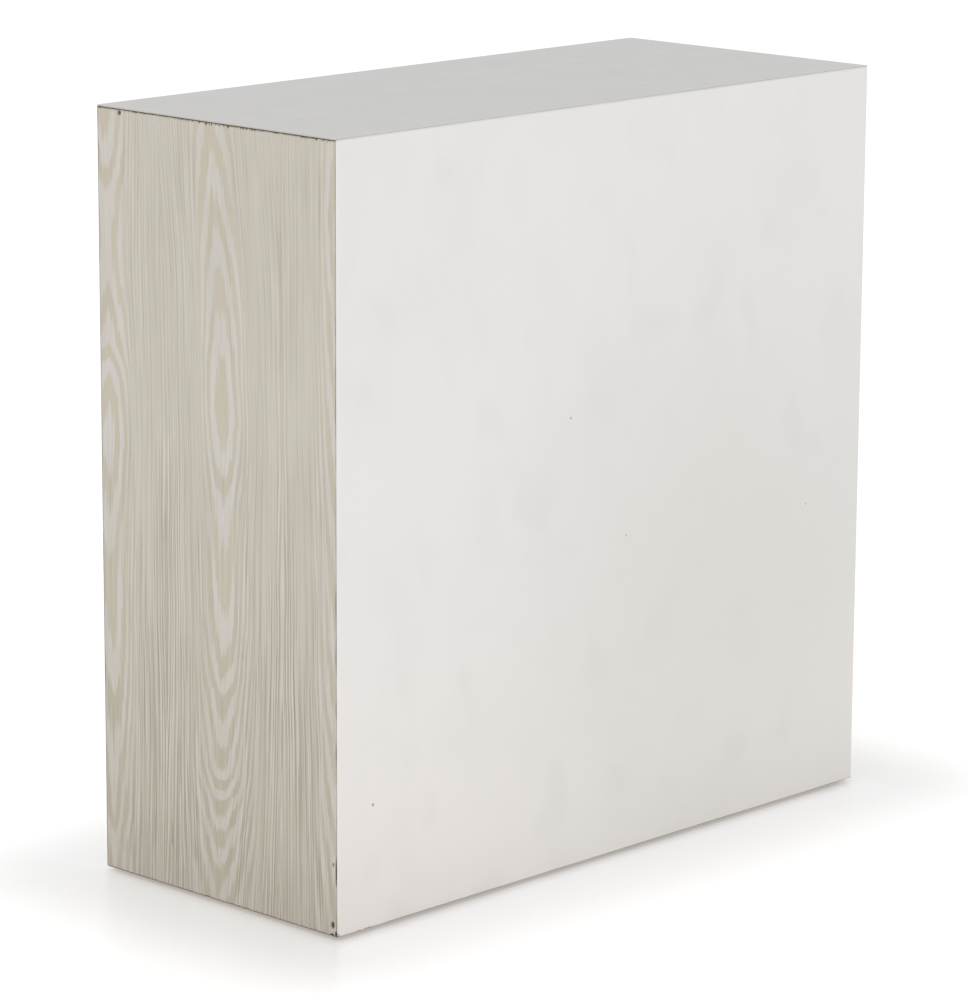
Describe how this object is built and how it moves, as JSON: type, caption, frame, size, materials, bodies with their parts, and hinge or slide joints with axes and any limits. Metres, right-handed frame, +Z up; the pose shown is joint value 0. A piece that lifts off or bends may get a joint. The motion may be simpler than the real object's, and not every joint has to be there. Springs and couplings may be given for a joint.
{
  "type": "display plinth",
  "caption": "Tall rectangular exhibition plinth: white painted box with brushed timber end faces and screw-adjustable levelling feet.",
  "frame": {"origin": "on the floor, under the middle of the plinth", "axes": "+Z up; the large front face looks along -Y; the two timber-faced ends look along -X and +X"},
  "size_m": [1, 0.43, 1],
  "materials": {
    "white_paint": "satin off-white paint on fibreboard, lightly rolled",
    "limed_larch": "brushed and limed flat-sawn softwood, matt",
    "raw_board": "bare medium-density fibreboard",
    "pine_batten": "planed pine",
    "beech_block": "planed beech",
    "beech_biscuit": "pressed beech",
    "zinc_steel": "bright zinc plate",
    "screw_steel": "yellow zinc plate",
    "black_nylon": "moulded nylon, fine texture",
    "grey_sole": "soft non-slip sole"
  },
  "bodies": {
    "root": {"front_panel": "white_paint", "back_panel": "white_paint", "top_panel": "white_paint", "left_end_board": "raw_board", "left_wood_sheet": "limed_larch", "top_batten_left": "pine_batten", "base_rail_left": "pine_batten", "right_end_board": "raw_board", "right_wood_sheet": "limed_larch", "top_batten_right": "pine_batten", "base_rail_right": "pine_batten", "centre_rib": "raw_board", "rib_cleat_front": "pine_batten", "rib_cleat_back": "pine_batten", "corner_batten_front_left": "pine_batten", "top_batten_front_left": "pine_batten", "base_rail_front_left": "pine_batten", "foot_block_front_left": "beech_block", "corner_batten_front_right": "pine_batten", "top_batten_front_right": "pine_batten", "base_rail_front_right": "pine_batten", "foot_block_front_right": "beech_block", "corner_batten_back_left": "pine_batten", "top_batten_back_left": "pine_batten", "base_rail_back_left": "pine_batten", "foot_block_back_left": "beech_block", "corner_batten_back_right": "pine_batten", "top_batten_back_right": "pine_batten", "base_rail_back_right": "pine_batten", "foot_block_back_right": "beech_block", "insert_nuts": "zinc_steel", "batten_screws": "screw_steel", "block_screws": "screw_steel", "mitre_biscuits": "beech_biscuit"},
    "pad_front_left": {"foot_pad_front_left": "black_nylon", "foot_sole_front_left": "grey_sole"},
    "stem_front_left": {"foot_stem_front_left": "zinc_steel"},
    "pad_front_right": {"foot_pad_front_right": "black_nylon", "foot_sole_front_right": "grey_sole"},
    "stem_front_right": {"foot_stem_front_right": "zinc_steel"},
    "pad_back_left": {"foot_pad_back_left": "black_nylon", "foot_sole_back_left": "grey_sole"},
    "stem_back_left": {"foot_stem_back_left": "zinc_steel"},
    "pad_back_right": {"foot_pad_back_right": "black_nylon", "foot_sole_back_right": "grey_sole"},
    "stem_back_right": {"foot_stem_back_right": "zinc_steel"}
  },
  "joints": [
    {"name": "foot_travel_front_left", "type": "slide", "parent": "root", "child": "pad_front_left", "axis": [0, 0, 1], "range_m": [-0.015, 0.004]},
    {"name": "stem_turn_front_left", "type": "hinge", "parent": "pad_front_left", "child": "stem_front_left", "pos_m": [-0.439, -0.157, 0.03], "axis": [0, 0, 1], "range_deg": [-4320, 1152]},
    {"name": "foot_travel_front_right", "type": "slide", "parent": "root", "child": "pad_front_right", "axis": [0, 0, 1], "range_m": [-0.015, 0.004]},
    {"name": "stem_turn_front_right", "type": "hinge", "parent": "pad_front_right", "child": "stem_front_right", "pos_m": [0.439, -0.157, 0.03], "axis": [0, 0, 1], "range_deg": [-4320, 1152]},
    {"name": "foot_travel_back_left", "type": "slide", "parent": "root", "child": "pad_back_left", "axis": [0, 0, 1], "range_m": [-0.015, 0.004]},
    {"name": "stem_turn_back_left", "type": "hinge", "parent": "pad_back_left", "child": "stem_back_left", "pos_m": [-0.439, 0.157, 0.03], "axis": [0, 0, 1], "range_deg": [-4320, 1152]},
    {"name": "foot_travel_back_right", "type": "slide", "parent": "root", "child": "pad_back_right", "axis": [0, 0, 1], "range_m": [-0.015, 0.004]},
    {"name": "stem_turn_back_right", "type": "hinge", "parent": "pad_back_right", "child": "stem_back_right", "pos_m": [0.439, 0.157, 0.03], "axis": [0, 0, 1], "range_deg": [-4320, 1152]}
  ],
  "couplings": [
    {"joint": "stem_turn_front_left", "follows": "foot_travel_front_left", "rad_per_m": 5026.5},
    {"joint": "stem_turn_front_right", "follows": "foot_travel_front_right", "rad_per_m": 5026.5},
    {"joint": "stem_turn_back_left", "follows": "foot_travel_back_left", "rad_per_m": 5026.5},
    {"joint": "stem_turn_back_right", "follows": "foot_travel_back_right", "rad_per_m": 5026.5}
  ]
}
